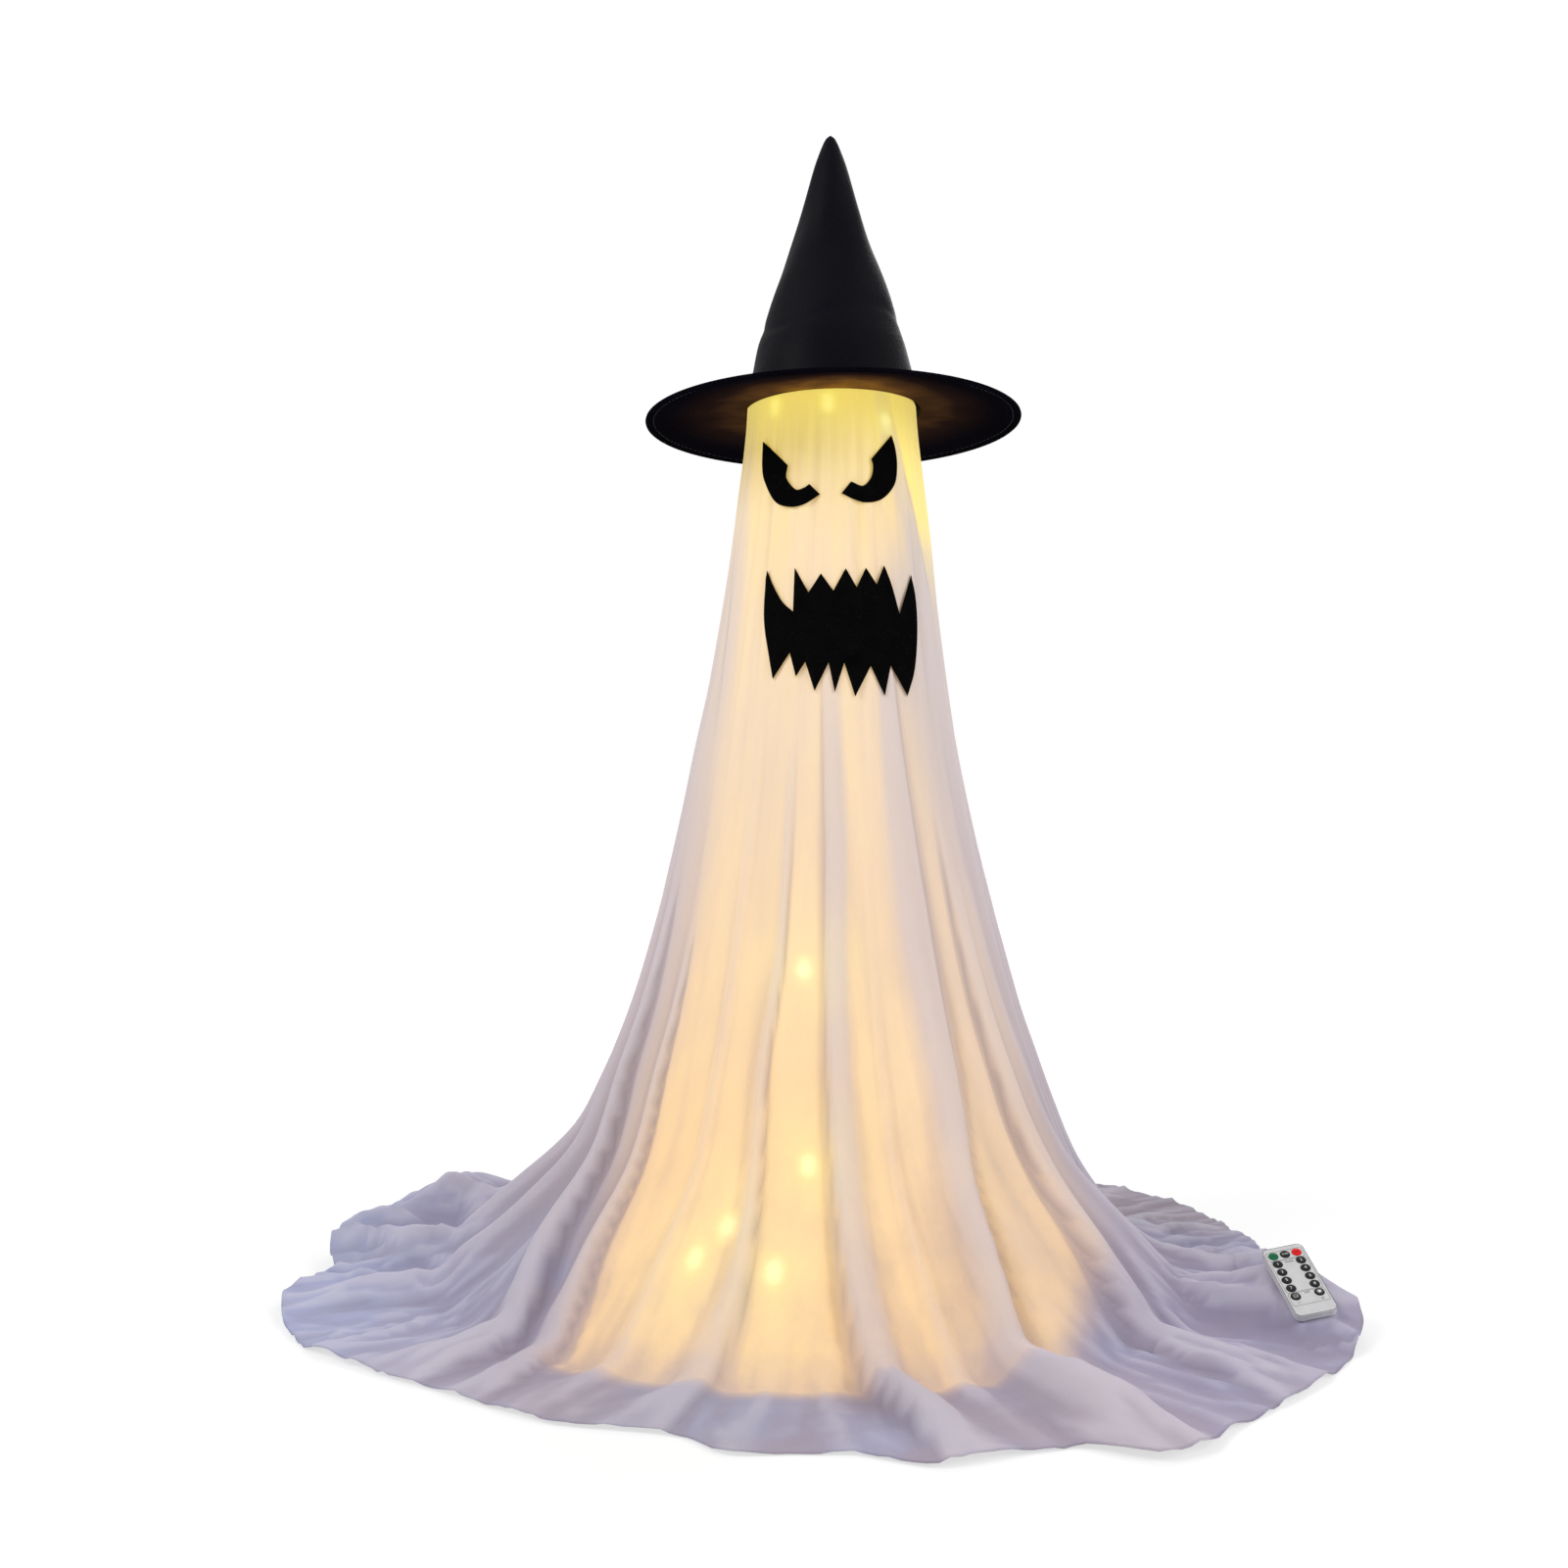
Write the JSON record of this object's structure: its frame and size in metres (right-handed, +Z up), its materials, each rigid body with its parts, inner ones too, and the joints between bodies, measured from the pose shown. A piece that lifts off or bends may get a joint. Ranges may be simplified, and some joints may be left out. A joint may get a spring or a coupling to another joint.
{
  "type": "standing ghost decoration",
  "caption": "Standing cloth ghost with a pointed brimmed hat and felt face, on a round-based pole wound with a string of lights, with a card remote.",
  "frame": {"origin": "middle of the base pad's underside, on the floor, on the pole's axis", "axes": "+Z up along the pole; the face looks along -Y; +X is at the face's right as seen from the front"},
  "size_m": [1.058, 1.1142, 1.2],
  "materials": {
    "black_steel": "satin black powder coat",
    "foam_pad": "matt foam",
    "zinc_steel": "zinc plated",
    "black_plastic": "fine texture",
    "white_plastic": "satin",
    "ghost_cloth": "thin translucent white cloth lit from inside",
    "black_felt": "matt black felt",
    "hat_cloth": "black cloth with a soft satin sheen",
    "light_string": "clear coated wire with warm lights",
    "cell_wrap": "printed wrap, plain",
    "contact_metal": "nickel plated",
    "circuit_board": "solder mask",
    "dark_lens": "dark infrared lens",
    "card_grey": "satin grey",
    "button_black": "satin",
    "button_green": "satin",
    "button_red": "satin"
  },
  "bodies": {
    "stand": {"base_pad": "foam_pad", "base_plate": "black_steel", "base_socket": "black_plastic", "base_set_screw": "zinc_steel", "socket_screw_1": "zinc_steel", "socket_screw_2": "zinc_steel", "socket_screw_3": "zinc_steel", "pole_lower": "black_steel", "pole_middle": "black_steel", "pole_upper": "black_steel", "head_hub": "black_plastic", "hub_set_screw": "zinc_steel", "head_rib_1": "zinc_steel", "head_rib_2": "zinc_steel", "head_rib_3": "zinc_steel", "head_rib_4": "zinc_steel", "head_hoop": "zinc_steel", "ghost_cloth": "ghost_cloth", "left_eye": "black_felt", "right_eye": "black_felt", "mouth": "black_felt", "light_string": "light_string", "battery_case": "black_plastic", "contact_minus": "contact_metal", "contact_plus": "contact_metal", "cell_1": "cell_wrap", "cell_2": "cell_wrap", "cell_3": "cell_wrap", "control_board": "circuit_board", "receiver_lid": "black_plastic", "infrared_receiver": "dark_lens", "wire_gland": "black_plastic"},
    "hat": {"hat_cone": "hat_cloth", "hat_brim": "hat_cloth", "brim_wire": "zinc_steel"},
    "battery_cover": {"battery_cover": "black_plastic"},
    "mode_button": {"mode_button": "white_plastic"},
    "card": {"card_back": "card_grey", "card_face": "card_grey", "card_board": "circuit_board", "infrared_lamp": "dark_lens"},
    "cell_tray": {"cell_tray": "card_grey", "coin_cell": "contact_metal"},
    "button_on": {"button_on": "button_green"},
    "button_timer": {"button_timer": "button_black"},
    "button_off": {"button_off": "button_red"},
    "button_1": {"button_1": "button_black"},
    "button_2": {"button_2": "button_black"},
    "button_3": {"button_3": "button_black"},
    "button_4": {"button_4": "button_black"},
    "button_5": {"button_5": "button_black"},
    "button_6": {"button_6": "button_black"},
    "button_7": {"button_7": "button_black"},
    "button_8": {"button_8": "button_black"},
    "button_dimmer": {"button_dimmer": "button_black"},
    "button_brighter": {"button_brighter": "button_black"}
  },
  "joints": [
    {"name": "hat_lift", "type": "slide", "parent": "stand", "child": "hat", "axis": [0, 0, 1], "range_m": [0, 0.3]},
    {"name": "card_lift", "type": "slide", "parent": "stand", "child": "card", "axis": [0, 0, 1], "range_m": [0, 0.3]},
    {"name": "tray_slide", "type": "slide", "parent": "card", "child": "cell_tray", "axis": [0.1728, -0.8471, -0.5025], "range_m": [0, 0.022]},
    {"name": "battery_cover_slide", "type": "slide", "parent": "stand", "child": "battery_cover", "axis": [0.9903, 0.1392, 0], "range_m": [0, 0.058]},
    {"name": "mode_button_press", "type": "slide", "parent": "stand", "child": "mode_button", "axis": [0, 0, -1], "range_m": [0, 0.0006], "stiffness_N_per_m": 400},
    {"name": "button_on_press", "type": "slide", "parent": "card", "child": "button_on", "axis": [0.092, 0.5219, -0.848], "range_m": [0, 0.0006], "stiffness_N_per_m": 400},
    {"name": "button_timer_press", "type": "slide", "parent": "card", "child": "button_timer", "axis": [0.092, 0.5219, -0.848], "range_m": [0, 0.0006], "stiffness_N_per_m": 400},
    {"name": "button_off_press", "type": "slide", "parent": "card", "child": "button_off", "axis": [0.092, 0.5219, -0.848], "range_m": [0, 0.0006], "stiffness_N_per_m": 400},
    {"name": "button_1_press", "type": "slide", "parent": "card", "child": "button_1", "axis": [0.092, 0.5219, -0.848], "range_m": [0, 0.0006], "stiffness_N_per_m": 400},
    {"name": "button_2_press", "type": "slide", "parent": "card", "child": "button_2", "axis": [0.092, 0.5219, -0.848], "range_m": [0, 0.0006], "stiffness_N_per_m": 400},
    {"name": "button_3_press", "type": "slide", "parent": "card", "child": "button_3", "axis": [0.092, 0.5219, -0.848], "range_m": [0, 0.0006], "stiffness_N_per_m": 400},
    {"name": "button_4_press", "type": "slide", "parent": "card", "child": "button_4", "axis": [0.092, 0.5219, -0.848], "range_m": [0, 0.0006], "stiffness_N_per_m": 400},
    {"name": "button_5_press", "type": "slide", "parent": "card", "child": "button_5", "axis": [0.092, 0.5219, -0.848], "range_m": [0, 0.0006], "stiffness_N_per_m": 400},
    {"name": "button_6_press", "type": "slide", "parent": "card", "child": "button_6", "axis": [0.092, 0.5219, -0.848], "range_m": [0, 0.0006], "stiffness_N_per_m": 400},
    {"name": "button_7_press", "type": "slide", "parent": "card", "child": "button_7", "axis": [0.092, 0.5219, -0.848], "range_m": [0, 0.0006], "stiffness_N_per_m": 400},
    {"name": "button_8_press", "type": "slide", "parent": "card", "child": "button_8", "axis": [0.092, 0.5219, -0.848], "range_m": [0, 0.0006], "stiffness_N_per_m": 400},
    {"name": "button_dimmer_press", "type": "slide", "parent": "card", "child": "button_dimmer", "axis": [0.092, 0.5219, -0.848], "range_m": [0, 0.0006], "stiffness_N_per_m": 400},
    {"name": "button_brighter_press", "type": "slide", "parent": "card", "child": "button_brighter", "axis": [0.092, 0.5219, -0.848], "range_m": [0, 0.0006], "stiffness_N_per_m": 400}
  ]
}
